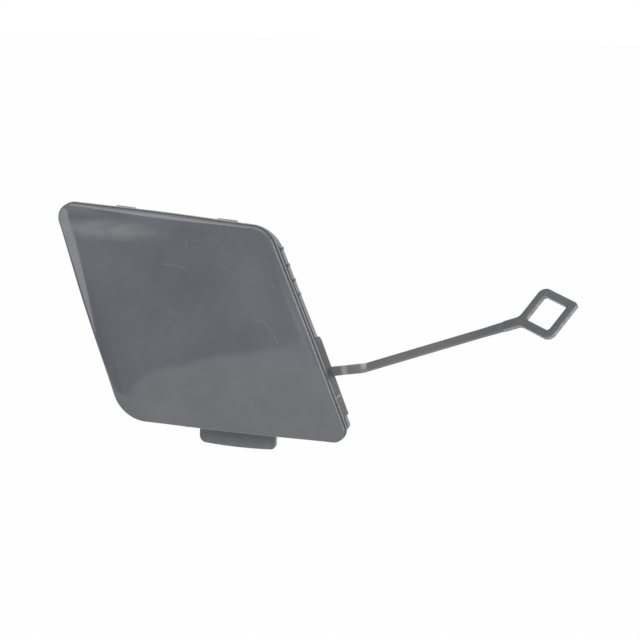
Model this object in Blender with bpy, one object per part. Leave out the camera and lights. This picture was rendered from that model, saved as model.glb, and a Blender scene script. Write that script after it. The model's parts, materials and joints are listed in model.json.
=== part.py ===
"""Bumper tow hook cover, one injection-moulded piece of plastic.

A crowned face with a rounded rim closes the opening in the bumper. Behind it a lip seats on the bumper's skin, and
a skirt goes into the opening, with two snap hooks on top, a tongue below and centring ribs at the sides. A strap
with two thinned hinges leaves a tab on the skirt and ends in a square loop, so that the cover isn't lost when it is
taken off.

Metres, +Z up. The cover stands as it does in the bumper: its face looks towards -Y and the car is towards +Y. The
origin is in the plane of the lip's back, in the middle of the cover.
"""

import math

import bmesh
import bpy
from mathutils import Matrix, Vector

# Outline of the face, seen from the front. Corners go from the upper left down and round, sides from the left one.
LEFT_SIDE = 0.0767
LEFT_LEAN = 17.5
BOTTOM_SIDE = 0.0793
BOTTOM_FALL = 2.2
TOP_SIDE = 0.0747
TOP_FALL = 4.6
FACE_RADII = (0.0052, 0.0124, 0.0040, 0.0088)
SIDE_BOWS = (0.0005, 0.0003, 0.0002, 0.0003)

# Face and lip
FACE_WALL = 0.0024
FACE_CROWN = 0.0019
ROLL_WIDTH = 0.0050
ROLL_DROP = 0.0007
LIP_DEPTH = 0.0036
EDGE_RADIUS = 0.0006
GROOVE_WIDTH = 0.0016
GROOVE_DEPTH = 0.0006
FLANGE_THICKNESS = 0.0013
FLANGE_RADIUS = 0.0003

# Skirt
SKIRT_INSET = 0.0018
SKIRT_DEPTH = 0.0092
SKIRT_RADII = (0.0036, 0.0100, 0.0014, 0.0126)
SKIRT_ROOT_WALL = 0.0019
SKIRT_RIM_WALL = 0.0015
RIM_CHAMFER = 0.0003
ROOT_FILLET = 0.0008

# Stiffening ribs on the back of the face
RIB_THICKNESS = 0.0012
RIB_END = 0.0015
UPRIGHT_RIBS = 2
LEVEL_RIBS = 1

# Snap hooks on the top of the skirt
HOOK_SPACING = 0.0353
HOOK_SHIFT = -0.0030
HOOK_LENGTH = 0.0064
HOOK_HEIGHT = 0.0010
HOOK_CATCH = 0.0032
HOOK_CREST = 0.0066
HOOK_FOOT = 0.0086
SLOT_WIDTH = 0.0010
SLOT_START = 0.0024

# Tongue under the skirt
TONGUE_WIDTH = 0.0262
TONGUE_SHIFT = -0.0010
TONGUE_REACH = 0.0069
TONGUE_BOW = 0.0005
TONGUE_GAP = 0.0030
TONGUE_THICKNESS = 0.0024
TONGUE_LEFT_RADIUS = 0.0023
TONGUE_RIGHT_RADIUS = 0.0014
GUSSETS = 3
GUSSET_THICKNESS = 0.0012
GUSSET_LEG = 0.0044

# Centring ribs on the skirt's sides
CENTRING_WIDTH = 0.0009
CENTRING_HEIGHT = 0.0003
CENTRING_START = 0.0016
RIGHT_CENTRING = (0.0292, 0.0234, 0.0181, 0.0133)
LEFT_CENTRING = (-0.0180, 0.0180)

# Tab that carries the strap
TAB_TOP = -0.0021
TAB_LENGTH = 0.0277
TAB_START = 0.0012
TAB_DEPTH_TOP = 0.0109
TAB_DEPTH_BOTTOM = 0.0096
TAB_THICKNESS = 0.0014
TAB_PROUD = 0.0003
TAB_RADIUS = 0.0020
TAB_RIB_LENGTH = 0.0045
TAB_RIB_WIDTH = 0.0007
TAB_RIB_AT = 0.74

# Strap
STRAP_WIDTH = 0.0031
STRAP_THICKNESS = 0.0012
STRAP_AT = 0.447
STRAP_ROOT = 0.0031
STRAP_LINK = 0.0031
HINGE_LENGTH = 0.0027
HINGE_THICKNESS = 0.0007
STRAP_ARM = 0.0512
ROOT_RISE = 8.0
ARM_RISE = 19.9
ARM_FORWARD = 1.3
ARM_TWIST = 46.0
STRAP_CHAMFER = 0.0002

# Loop
LOOP_HOLE = 0.0100
LOOP_BAND = 0.00255
LOOP_THICKNESS = 0.0015
LOOP_SIDE_RADIUS = 0.0029
LOOP_TIP_RADIUS = 0.0009
LOOP_INNER_RADIUS = 0.0010
LOOP_FILLET = 0.0030
NECK_LENGTH = 0.0040
NECK_MARGIN = 0.0001

# Mark left by the moulding gate on the lower edge
GATE_WIDTH = 0.0020
GATE_HEIGHT = 0.0003
GATE_AT = -0.0171
GATE_DEPTH = 0.0010

# Fineness of the curved surfaces
CORNER_STEPS = 8
SIDE_STEPS = 8
FACE_RINGS = 8
ROLL_RINGS = 4
EDGE_STEPS = 4
SMALL_STEPS = 3
BACK_RINGS = 5
TONGUE_STEPS = 6

# How far a shape is set into the one that it grows from
BITE = 0.0006

LEFT, BOTTOM, RIGHT, TOP = range(4)
REARWARDS = Vector((0.0, 1.0, 0.0))
PLASTIC = (0.125, 0.134, 0.150, 1.0)


def heading(degrees):
    """Unit vector in the plan of the face, at an angle above +X."""
    return Vector((math.cos(math.radians(degrees)), math.sin(math.radians(degrees))))


def face_corners():
    """The face's four corners before rounding, from the upper left down and round, about their own middle."""
    upper_left = Vector((0.0, 0.0))
    lower_left = upper_left + LEFT_SIDE * heading(LEFT_LEAN - 90)
    lower_right = lower_left + BOTTOM_SIDE * heading(-BOTTOM_FALL)
    upper_right = upper_left + TOP_SIDE * heading(-TOP_FALL)
    corners = [upper_left, lower_left, lower_right, upper_right]
    middle = sum(corners, Vector((0.0, 0.0))) / len(corners)
    return [corner - middle for corner in corners]


def side_line(corners, side):
    """Unit vector along a side and the unit vector that points out of it."""
    along = (corners[(side + 1) % len(corners)] - corners[side]).normalized()
    return along, Vector((along.y, -along.x))


def inset_corners(corners, inset):
    """The corners of the same outline with each side moved in."""
    moved = []
    for index, corner in enumerate(corners):
        out_before = side_line(corners, index - 1)[1]
        out_after = side_line(corners, index)[1]
        moved.append(corner - (out_before + out_after) * inset / (1 + out_before.dot(out_after)))
    return moved


def corner_arcs(corners, radii, steps):
    """For each corner the points of its rounding, whichever way the outline turns there."""
    arcs = []
    for index, corner in enumerate(corners):
        before = (corner - corners[index - 1]).normalized()
        after = (corners[(index + 1) % len(corners)] - corner).normalized()
        turn = math.atan2(before.x * after.y - before.y * after.x, before.dot(after))
        start = corner - before * radii[index] * math.tan(abs(turn) / 2)
        to_centre = Vector((-before.y, before.x)) * math.copysign(radii[index], turn)
        spokes = [Matrix.Rotation(turn * step / steps, 2) @ -to_centre for step in range(steps + 1)]
        arcs.append([start + to_centre + spoke for spoke in spokes])
    return arcs


def rounded(corners, radii, steps=SMALL_STEPS):
    """An outline with its corners rounded. A corner with no radius stays sharp."""
    points = []
    for corner, radius, arc in zip(corners, radii, corner_arcs(corners, radii, steps)):
        points += arc if radius > 0 else [corner]
    return points


def outline(inset, wall_inset, wall_radii):
    """The face's outline moved in by a distance. Its corners have the wall's radii where it has the wall's inset."""
    corners = inset_corners(face_corners(), inset)
    radii = [max(radius + wall_inset - inset, EDGE_RADIUS) for radius in wall_radii]
    arcs = corner_arcs(corners, radii, CORNER_STEPS)
    points = []
    for side, arc in enumerate(arcs):
        points += arc
        start, end = arc[-1], arcs[(side + 1) % len(arcs)][0]
        out = side_line(corners, side)[1]
        for step in range(1, SIDE_STEPS):
            along = step / SIDE_STEPS
            swell = (4 * along * (1 - along)) ** 2
            points.append(start.lerp(end, along) + out * SIDE_BOWS[side] * swell)
    return points


def inside_by(point, side):
    """How far a point of the plan lies inside a side of the face."""
    corners = face_corners()
    return max(0.0, side_line(corners, side)[1].dot(corners[side] - point))


def crown(point):
    """Rise of the face over its rim at a point of the plan: one even swell, which ends at all four sides."""
    height = FACE_CROWN
    for side in (LEFT, BOTTOM):
        here, there = inside_by(point, side), inside_by(point, side + 2)
        height *= 4 * here * there / (here + there) ** 2
    return height


def roll(inset):
    """Rise of the rolled margin, at a distance in from the outline."""
    return ROLL_DROP * (1 - max(0.0, 1 - inset / ROLL_WIDTH) ** 2)


def back_depth(point):
    """Y of the face's back, one wall behind its front."""
    inset = min(inside_by(point, side) for side in range(4))
    return FACE_WALL - LIP_DEPTH - crown(point) - roll(inset)


def lift(points, depth):
    """Points of the plan as points in space, all at one depth."""
    return [Vector((point.x, depth, point.y)) for point in points]


def crowned(points, depth):
    """Points of the plan as points in space, at a depth that the crown brings forward."""
    return [Vector((point.x, depth - crown(point), point.y)) for point in points]


def front_rings():
    """Rings over the crowned face, the rolled margin and the rounded front edge."""
    plain = outline(ROLL_WIDTH, 0.0, FACE_RADII)
    shares = [step / FACE_RINGS for step in range(1, FACE_RINGS + 1)]
    rings = [crowned([point * share for point in plain], -LIP_DEPTH - ROLL_DROP) for share in shares]
    slope = math.atan(2 * ROLL_DROP / ROLL_WIDTH)
    edge_inset = EDGE_RADIUS * (1 - math.sin(slope))
    for step in range(1, ROLL_RINGS):
        inset = ROLL_WIDTH + (edge_inset - ROLL_WIDTH) * step / ROLL_RINGS
        rings.append(crowned(outline(inset, 0.0, FACE_RADII), -LIP_DEPTH - roll(inset)))
    centre_depth = -LIP_DEPTH - roll(edge_inset) + EDGE_RADIUS * math.cos(slope)
    for step in range(EDGE_STEPS + 1):
        angle = slope + (math.pi / 2 - slope) * step / EDGE_STEPS
        points = outline(EDGE_RADIUS * (1 - math.sin(angle)), 0.0, FACE_RADII)
        rings.append(crowned(points, centre_depth - EDGE_RADIUS * math.cos(angle)))
    return rings


def lip_rings():
    """Rings down the lip's side: a square shadow groove, then the flange that bears on the bumper."""
    groove_start = -FLANGE_THICKNESS - GROOVE_WIDTH
    stops = [(0.0, groove_start), (GROOVE_DEPTH, groove_start), (GROOVE_DEPTH, -FLANGE_THICKNESS)]
    angles = [math.pi / 2 * step / SMALL_STEPS for step in range(SMALL_STEPS + 1)]
    for angle in angles:
        sunk = FLANGE_RADIUS * (1 - math.cos(angle))
        stops.append((FLANGE_RADIUS * (1 - math.sin(angle)), sunk - FLANGE_THICKNESS))
    for angle in angles:
        stops.append((FLANGE_RADIUS * (1 - math.cos(angle)), FLANGE_RADIUS * (math.sin(angle) - 1)))
    return [lift(outline(inset, 0.0, FACE_RADII), depth) for inset, depth in stops]


def skirt_rings():
    """Rings over the seat, the skirt's outside and rim, and back down its inside to the face."""
    rim = SKIRT_INSET + SKIRT_RIM_WALL
    stops = [
        (SKIRT_INSET, 0.0),
        (SKIRT_INSET, SKIRT_DEPTH - RIM_CHAMFER),
        (SKIRT_INSET + RIM_CHAMFER, SKIRT_DEPTH),
        (rim - RIM_CHAMFER, SKIRT_DEPTH),
        (rim, SKIRT_DEPTH - RIM_CHAMFER),
    ]
    rings = [lift(outline(inset, SKIRT_INSET, SKIRT_RADII), depth) for inset, depth in stops]
    root = SKIRT_INSET + SKIRT_ROOT_WALL
    floor = FACE_WALL - LIP_DEPTH - ROLL_DROP
    for step in range(SMALL_STEPS + 1):
        angle = math.pi / 2 * step / SMALL_STEPS
        points = outline(root + ROOT_FILLET * (1 - math.cos(angle)), SKIRT_INSET, SKIRT_RADII)
        rings.append(crowned(points, floor + ROOT_FILLET * (1 - math.sin(angle))))
    edge = outline(root + ROOT_FILLET, SKIRT_INSET, SKIRT_RADII)
    for step in range(1, BACK_RINGS):
        share = 1 - step / BACK_RINGS
        rings.append(crowned([point * share for point in edge], floor))
    return rings


def new_object(name, mesh):
    obj = bpy.data.objects.new(name, mesh)
    bpy.context.scene.collection.objects.link(obj)
    return obj


def mesh_from(name, edit):
    """Turns a bmesh into a mesh whose faces all point out."""
    bmesh.ops.recalc_face_normals(edit, faces=edit.faces)
    mesh = bpy.data.meshes.new(name)
    edit.to_mesh(mesh)
    edit.free()
    return mesh


def loft(name, rings, first=None, last=None):
    """Joins rings of equally many points. An end closes to a point where one is given, else with a flat cap."""
    edit = bmesh.new()
    loops = [[edit.verts.new(point) for point in points] for points in rings]
    for loop, beyond in zip(loops, loops[1:]):
        for index in range(len(loop)):
            edit.faces.new((loop[index - 1], loop[index], beyond[index], beyond[index - 1]))
    for loop, point in ((loops[0], first), (loops[-1], last)):
        if point is None:
            edit.faces.new(loop)
            continue
        tip = edit.verts.new(point)
        for index in range(len(loop)):
            edit.faces.new((loop[index - 1], loop[index], tip))
    return mesh_from(name, edit)


def frame(origin, x_axis, y_axis):
    """Matrix of a right-handed frame from its origin and two axes."""
    z_axis = x_axis.cross(y_axis)
    rows = Matrix((x_axis, y_axis, z_axis)).transposed().to_4x4()
    return Matrix.Translation(origin) @ rows


def plate(name, outlines, low, high, place):
    """A flat plate from closed outlines, the first its edge and any others its holes, between two heights."""
    curve = bpy.data.curves.new(name, "CURVE")
    curve.dimensions = "2D"
    curve.fill_mode = "BOTH"
    curve.extrude = (high - low) / 2
    for points in outlines:
        spline = curve.splines.new("POLY")
        spline.points.add(len(points) - 1)
        spline.use_cyclic_u = True
        for target, point in zip(spline.points, points):
            target.co = (point[0], point[1], 0.0, 1.0)
    drawn = bpy.data.objects.new(name, curve)
    edit = bmesh.new()
    edit.from_mesh(drawn.to_mesh())
    drawn.to_mesh_clear()
    bpy.data.objects.remove(drawn)
    bpy.data.curves.remove(curve)
    bmesh.ops.remove_doubles(edit, verts=edit.verts, dist=0.000001)
    bmesh.ops.transform(edit, matrix=place @ Matrix.Translation((0, 0, (low + high) / 2)), verts=edit.verts)
    return new_object(name, mesh_from(name, edit))


def wall_axes(side, inset=SKIRT_INSET):
    """Middle of a side of the outline, moved in, with the unit vectors along it and out of it."""
    corners = face_corners()
    along, out = side_line(corners, side)
    middle = (corners[side] + corners[(side + 1) % 4]) / 2 - out * inset
    return tuple(Vector((flat.x, 0.0, flat.y)) for flat in (middle, along, out))


def rearward_place(side):
    """X along the wall, Y out of it, Z to the rear."""
    middle, along, out = wall_axes(side)
    return frame(middle, along, out)


def crosswise_place(side, at):
    """X out of the wall, Y to the rear, Z along the wall, at a distance from its middle."""
    middle, along, out = wall_axes(side)
    return frame(middle + along * at, out, REARWARDS)


def outward_place(side):
    """X to the rear, Y along the wall, Z out of it."""
    middle, along, out = wall_axes(side)
    return frame(middle, REARWARDS, along)


def rectangle(x_low, x_high, y_low, y_high):
    return [Vector((x_low, y_low)), Vector((x_high, y_low)), Vector((x_high, y_high)), Vector((x_low, y_high))]


def make_shell():
    """Face, lip and skirt in one section carried round the outline."""
    rings = front_rings() + lip_rings() + skirt_rings()
    back_tip = Vector((0.0, back_depth(Vector((0.0, 0.0))), 0.0))
    front_tip = back_tip - REARWARDS * FACE_WALL
    return new_object("tow_hook_cover", loft("tow_hook_cover", rings, front_tip, back_tip))


def rib(name, start, end):
    """A rib across the back between two points of the plan. Its root follows the crowned face."""
    span = end - start
    steps = 2 * BACK_RINGS
    root = []
    for step in range(steps + 1):
        point = start + span * step / steps
        root.append(Vector((span.length * step / steps, back_depth(point) - BITE)))
    crest = [Vector((span.length, RIB_END)), Vector((0.0, RIB_END))]
    along = Vector((span.x, 0.0, span.y)).normalized()
    place = frame(Vector((start.x, 0.0, start.y)), along, REARWARDS)
    return plate(name, [root + crest], -RIB_THICKNESS / 2, RIB_THICKNESS / 2, place)


def make_ribs():
    """Upright ribs run from the bottom wall to the top one, level ribs from the left wall to the right one."""
    upper_left, lower_left, lower_right, upper_right = inset_corners(face_corners(), SKIRT_INSET + BITE)
    ribs = []
    for index in range(UPRIGHT_RIBS):
        share = (index + 1) / (UPRIGHT_RIBS + 1)
        ends = lower_left.lerp(lower_right, share), upper_left.lerp(upper_right, share)
        ribs.append(rib(f"upright_rib_{index + 1}", *ends))
    for index in range(LEVEL_RIBS):
        share = (index + 1) / (LEVEL_RIBS + 1)
        ends = lower_left.lerp(upper_left, share), lower_right.lerp(upper_right, share)
        ribs.append(rib(f"level_rib_{index + 1}", *ends))
    return ribs


def hook_places():
    return [HOOK_SHIFT + HOOK_SPACING / 2, HOOK_SHIFT - HOOK_SPACING / 2]


def make_hooks():
    """Snap hooks: a steep catch in front, a crest, and a long ramp that leads them into the opening."""
    profile = [
        Vector((-BITE, HOOK_CATCH)),
        Vector((HOOK_HEIGHT, HOOK_CATCH + HOOK_HEIGHT / 3)),
        Vector((HOOK_HEIGHT, HOOK_CREST)),
        Vector((0.0, HOOK_FOOT)),
        Vector((-BITE, HOOK_FOOT)),
    ]
    radii = [0.0, HOOK_HEIGHT / 4, HOOK_HEIGHT, 0.0, 0.0]
    half = HOOK_LENGTH / 2
    return [
        plate(f"hook_{index + 1}", [rounded(profile, radii)], -half, half, crosswise_place(TOP, at))
        for index, at in enumerate(hook_places())
    ]


def make_slots():
    """Slots on both sides of each hook, round at their root, so that the wall between them can spring."""
    radius = SLOT_WIDTH / 2
    cuts = []
    for index, at in enumerate(hook_places()):
        for sign in (-1, 1):
            middle = at + sign * (HOOK_LENGTH / 2 + SLOT_WIDTH)
            box = rectangle(SLOT_START, SKIRT_DEPTH + BITE, middle - radius, middle + radius)
            shape = rounded(box, [radius * 0.99, 0.0, 0.0, radius * 0.99])
            depth = SKIRT_ROOT_WALL + BITE
            name = f"slot_{index + 1}_{'left' if sign > 0 else 'right'}"
            cuts.append(plate(name, [shape], -depth, SIDE_BOWS[TOP] + BITE, outward_place(TOP)))
    return cuts


def make_tongue():
    """The tongue goes down behind the bumper's edge, and gussets on its back hold it square."""
    half = TONGUE_WIDTH / 2
    tip = SKIRT_INSET + TONGUE_REACH
    edge = [Vector((-half, -BITE)), Vector((half, -BITE))]
    for step in range(TONGUE_STEPS + 1):
        share = 1 - 2 * step / TONGUE_STEPS
        edge.append(Vector((half * share, tip - TONGUE_BOW * share ** 2)))
    radii = [0.0, 0.0, TONGUE_RIGHT_RADIUS] + [0.0] * (TONGUE_STEPS - 1) + [TONGUE_LEFT_RADIUS]
    shape = [point + Vector((TONGUE_SHIFT, 0.0)) for point in rounded(edge, radii)]
    back = TONGUE_GAP + TONGUE_THICKNESS
    pieces = [plate("tongue", [shape], TONGUE_GAP, back, rearward_place(BOTTOM))]
    side = [
        Vector((-BITE, back - BITE)),
        Vector((GUSSET_LEG, back - BITE)),
        Vector((GUSSET_LEG, back)),
        Vector((BITE, back + GUSSET_LEG)),
        Vector((-BITE, back + GUSSET_LEG)),
    ]
    for index in range(GUSSETS):
        at = TONGUE_SHIFT + TONGUE_WIDTH * ((index + 0.5) / GUSSETS - 0.5)
        half = GUSSET_THICKNESS / 2
        pieces.append(plate(f"gusset_{index + 1}", [side], -half, half, crosswise_place(BOTTOM, at)))
    return pieces


def make_centring_ribs():
    """Low ribs that centre the skirt between the sides of the opening."""
    half = CENTRING_WIDTH / 2
    pieces = []
    for side, places in ((RIGHT, RIGHT_CENTRING), (LEFT, LEFT_CENTRING)):
        for index, at in enumerate(places):
            top = SIDE_BOWS[side] + CENTRING_HEIGHT
            shape = rounded(rectangle(at - half, at + half, -BITE, top), [0.0, 0.0, half * 0.6, half * 0.6])
            low, high = CENTRING_START, SKIRT_DEPTH - 2 * RIM_CHAMFER
            pieces.append(plate(f"centring_rib_{side}_{index + 1}", [shape], low, high, rearward_place(side)))
    return pieces


def make_tab():
    """The tab stands behind the skirt's right wall and carries the strap."""
    bottom = TAB_TOP - TAB_LENGTH
    corners = [
        Vector((TAB_START, bottom)),
        Vector((TAB_DEPTH_BOTTOM, bottom)),
        Vector((TAB_DEPTH_TOP, TAB_TOP)),
        Vector((TAB_START, TAB_TOP)),
    ]
    shape = rounded(corners, [TAB_RADIUS / 2, TAB_RADIUS / 2, TAB_RADIUS, TAB_RADIUS / 2])
    proud = SIDE_BOWS[RIGHT] + TAB_PROUD
    tab = plate("tab", [shape], proud - TAB_THICKNESS, proud, outward_place(RIGHT))
    at = TAB_TOP - TAB_LENGTH * TAB_RIB_AT
    middle = (TAB_START + TAB_DEPTH_BOTTOM) / 2
    line = rectangle(
        middle - TAB_RIB_LENGTH / 2,
        middle + TAB_RIB_LENGTH / 2,
        at - TAB_RIB_WIDTH / 2,
        at + TAB_RIB_WIDTH / 2,
    )
    shape = rounded(line, [TAB_RIB_WIDTH * 0.4] * 4)
    low, high = proud - TAB_THICKNESS / 2, proud + TAB_PROUD
    return [tab, plate("tab_rib", [shape], low, high, outward_place(RIGHT))]


def ease(share):
    """Smooth step from 0 to 1."""
    share = min(max(share, 0.0), 1.0)
    return share * share * (3 - 2 * share)


def strap_axes(share):
    """Along, across and face of the strap. The share is 0 before its second hinge has bent, and 1 after."""
    climb = math.radians(ROOT_RISE + (ARM_RISE - ROOT_RISE) * share)
    forward = math.radians(ARM_FORWARD * share)
    twist = math.radians(ARM_TWIST * share)
    along = Vector(
        (math.cos(climb) * math.cos(forward), -math.sin(forward), math.sin(climb) * math.cos(forward))
    )
    upright = along.cross(REARWARDS).normalized()
    front = along.cross(upright)
    across = upright * math.cos(twist) - front * math.sin(twist)
    return along, across, along.cross(across)


def strap_section(centre, axes, thickness):
    """The strap's section with its edges taken off."""
    across, face = axes[1], axes[2]
    wide, deep = STRAP_WIDTH / 2, thickness / 2
    cut = min(STRAP_CHAMFER, deep / 2)
    steps = [
        (wide, cut - deep),
        (wide, deep - cut),
        (wide - cut, deep),
        (cut - wide, deep),
        (-wide, deep - cut),
        (-wide, cut - deep),
        (cut - wide, -deep),
        (wide - cut, -deep),
    ]
    return [centre + across * x + face * y for x, y in steps]


def strap_stations():
    """Distances along the strap at which its section is set, closer together in the hinges."""
    first = STRAP_ROOT
    second = first + HINGE_LENGTH + STRAP_LINK
    end = second + HINGE_LENGTH + STRAP_ARM
    hinge_steps = 2 * SMALL_STEPS
    stations = [-BITE]
    for start in (first, second):
        stations += [start + HINGE_LENGTH * step / hinge_steps for step in range(hinge_steps + 1)]
    return stations + [end], first, second


def strap_path():
    """Centre, axes and thickness of the strap at each station, from the tab to the loop."""
    stations, first, second = strap_stations()
    middle, along_wall, out = wall_axes(RIGHT)
    root = middle + along_wall * (TAB_TOP - TAB_LENGTH * STRAP_AT) + out * SIDE_BOWS[RIGHT]
    root.y = TAB_DEPTH_TOP + (TAB_DEPTH_BOTTOM - TAB_DEPTH_TOP) * STRAP_AT - STRAP_THICKNESS
    centre = root + strap_axes(0.0)[0] * stations[0]
    path = []
    for index, station in enumerate(stations):
        if index:
            half_way = (station + stations[index - 1]) / 2
            step = strap_axes(ease((half_way - second) / HINGE_LENGTH))[0]
            centre = centre + step * (station - stations[index - 1])
        thinning = 0.0
        for start in (first, second):
            share = (station - start) / HINGE_LENGTH
            if 0 < share < 1:
                thinning = math.sin(math.pi * share)
        thickness = STRAP_THICKNESS - (STRAP_THICKNESS - HINGE_THICKNESS) * thinning
        path.append((centre, strap_axes(ease((station - second) / HINGE_LENGTH)), thickness))
    return path


def make_strap():
    """The strap, thinned at two hinges. It bends and twists in the second."""
    sections = [strap_section(*stop) for stop in strap_path()]
    return new_object("strap", loft("strap", sections))


def make_loop():
    """A square ring stood on its corner, with a neck that takes the strap's end between two fillets."""
    end, (along, across, _), _ = strap_path()[-1]
    inner = LOOP_HOLE / math.sqrt(2)
    outer = (LOOP_HOLE / 2 + LOOP_BAND) * math.sqrt(2)
    neck = STRAP_WIDTH / 2 + NECK_MARGIN
    fork = outer - neck
    edge = [
        Vector((-outer - NECK_LENGTH, -neck)),
        Vector((-fork, -neck)),
        Vector((0.0, -outer)),
        Vector((outer, 0.0)),
        Vector((0.0, outer)),
        Vector((-fork, neck)),
        Vector((-outer - NECK_LENGTH, neck)),
    ]
    radii = [0.0, LOOP_FILLET, LOOP_SIDE_RADIUS, LOOP_TIP_RADIUS, LOOP_SIDE_RADIUS, LOOP_FILLET, 0.0]
    hole = [Vector((inner, 0.0)), Vector((0.0, inner)), Vector((-inner, 0.0)), Vector((0.0, -inner))]
    outlines = [rounded(edge, radii, 2 * SMALL_STEPS), rounded(hole, [LOOP_INNER_RADIUS] * 4)]
    middle = end + along * (outer + NECK_LENGTH / 2)
    half = LOOP_THICKNESS / 2
    return plate("loop", outlines, -half, half, frame(middle, along, across))


def make_gate_mark():
    """The stub left where the moulding was cut from its runner, on the lower edge beside the tongue."""
    half = GATE_WIDTH / 2
    edge = SKIRT_INSET + SIDE_BOWS[BOTTOM]
    shape = rounded(
        rectangle(GATE_AT - half, GATE_AT + half, edge - BITE, edge + GATE_HEIGHT),
        [0.0, 0.0, GATE_HEIGHT, GATE_HEIGHT],
    )
    return plate("gate_mark", [shape], -FLANGE_THICKNESS, GATE_DEPTH - FLANGE_THICKNESS, rearward_place(BOTTOM))


def combine(body, name, operation, pieces):
    """Adds pieces to the body or cuts them out of it, in one Boolean."""
    group = bpy.data.collections.new(name)
    bpy.context.scene.collection.children.link(group)
    for piece in pieces:
        bpy.context.scene.collection.objects.unlink(piece)
        group.objects.link(piece)
        piece.hide_render = True
        piece.display_type = "WIRE"
    modifier = body.modifiers.new(name, "BOOLEAN")
    modifier.operation = operation
    modifier.solver = "EXACT"
    modifier.operand_type = "COLLECTION"
    modifier.collection = group


def make_plastic():
    """Dark blue-grey plastic with a satin gloss."""
    material = bpy.data.materials.new("grey_plastic")
    material.use_nodes = True
    shader = next(node for node in material.node_tree.nodes if node.type == "BSDF_PRINCIPLED")
    shader.inputs["Base Color"].default_value = PLASTIC
    shader.inputs["Roughness"].default_value = 0.32
    shader.inputs["Metallic"].default_value = 0.0
    return material


def build():
    for obj in list(bpy.data.objects):
        bpy.data.objects.remove(obj)
    cover = make_shell()
    cover.data.materials.append(make_plastic())
    cover.data.shade_smooth()
    cover.data.set_sharp_from_angle(angle=math.radians(30))
    added = make_ribs() + make_hooks() + make_tongue() + make_centring_ribs() + make_tab()
    added += [make_strap(), make_loop(), make_gate_mark()]
    combine(cover, "moulded_on", "UNION", added)
    combine(cover, "relief_slots", "DIFFERENCE", make_slots())


build()
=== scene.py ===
import json
import math

import bmesh
import bpy
from mathutils import Matrix, Vector

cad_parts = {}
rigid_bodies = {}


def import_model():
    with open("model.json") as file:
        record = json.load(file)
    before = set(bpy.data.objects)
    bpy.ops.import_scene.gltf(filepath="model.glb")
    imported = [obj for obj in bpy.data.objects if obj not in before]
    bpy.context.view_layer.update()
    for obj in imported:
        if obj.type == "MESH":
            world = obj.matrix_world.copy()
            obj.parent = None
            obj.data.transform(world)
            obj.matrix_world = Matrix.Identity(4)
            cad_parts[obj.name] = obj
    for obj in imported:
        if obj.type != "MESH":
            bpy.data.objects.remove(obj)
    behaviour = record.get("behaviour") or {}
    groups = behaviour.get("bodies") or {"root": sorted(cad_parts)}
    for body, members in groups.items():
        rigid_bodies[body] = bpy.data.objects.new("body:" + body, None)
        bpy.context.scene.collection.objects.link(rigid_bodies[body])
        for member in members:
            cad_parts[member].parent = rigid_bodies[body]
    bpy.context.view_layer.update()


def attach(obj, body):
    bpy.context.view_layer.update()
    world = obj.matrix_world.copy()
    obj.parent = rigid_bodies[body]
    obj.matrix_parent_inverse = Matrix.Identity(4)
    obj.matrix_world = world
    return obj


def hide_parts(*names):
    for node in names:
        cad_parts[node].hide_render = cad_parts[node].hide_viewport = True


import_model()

scene = bpy.context.scene


# ------------------------------------------------------------------------------
# The view. The camera stands in front of the cover, a little to the right of its face and above it, at the end of
# a long lens, where the photograph was taken from.

VIEW_AZIMUTH = math.radians(15.5)
VIEW_ELEVATION = math.radians(12.0)
VIEW_DISTANCE = 0.7
VIEW_AIM = Vector((0.0381, 0.0105, 0.0005))
VIEW_LENS = 119.7
FILM_WIDTH = 36.0


def new_object(name, data):
    made = bpy.data.objects.new(name, data)
    scene.collection.objects.link(made)
    return made


lens = bpy.data.cameras.new("view")
lens.sensor_width = FILM_WIDTH
lens.lens = VIEW_LENS
camera = new_object("view", lens)
towards_camera = Vector((
    math.sin(VIEW_AZIMUTH) * math.cos(VIEW_ELEVATION),
    -math.cos(VIEW_AZIMUTH) * math.cos(VIEW_ELEVATION),
    math.sin(VIEW_ELEVATION),
))
camera.location = VIEW_AIM + towards_camera * VIEW_DISTANCE
camera.rotation_euler = towards_camera.to_track_quat("Z", "Y").to_euler()
scene.camera = camera
scene.view_settings.view_transform = "Standard"


# ------------------------------------------------------------------------------
# The studio: a pale table well below the cover, a white wall behind it, a dim room in front of it, and four soft
# boxes. The left box shows as the pale wedge in the gloss of the face, and the high one lights the upper edge. The
# table's near border shows in the face too: under it the face mirrors the table, and over it the cloudy dim room.

TABLE_HEIGHT = -0.15
TABLE_EDGE = (
    (12.0, 3.0), (-3.0, 3.0), (-3.0, 0.1), (-0.50, 0.0), (-0.27, -0.22), (-0.205, -0.335), (-0.160, -0.395),
    (-0.148, -0.46), (-0.12, -0.57), (-0.085, -0.80), (0.0, -1.12), (0.2, -1.8), (0.6, -3.2), (1.0, -12.0),
    (12.0, -12.0),
)
TABLE_WHITE = (0.95, 0.95, 0.95)
TABLE_GLOW = 0.985    # share of the table's white that is its own, where it is seen or mirrored
TABLE_BOUNCE = 0.30   # and the same share in what it throws on the cover from below
WHITE = (1.0, 1.0, 1.0)
ROOM_LIGHT = 0.10
ROOM_DARK = (0.0, 0.01, 0.05)
ROOM_PALE = (0.34, 0.42, 0.54)
ROOM_MOTTLE = 0.34
ROOM_LEFT_GLOW = 0.15
WALL_FADE = (-0.25, 0.10)   # how far to the rear a direction points where the white wall begins and is full
# The pale clouds of the room. Each has its direction, the distances from it where it begins and ends to fade, and
# its brightness.
ROOM_CLOUDS = (
    ((-0.44, -0.87, -0.21), 0.05, 0.15, 1.1), ((-0.29, -0.96, -0.02), 0.02, 0.08, 0.5),
    ((-0.26, -0.95, 0.25), 0.05, 0.22, 0.6), ((-0.20, -0.97, -0.10), 0.02, 0.08, 0.25),
    ((0.28, -0.95, 0.10), 0.06, 0.20, 1.0),
)


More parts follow.
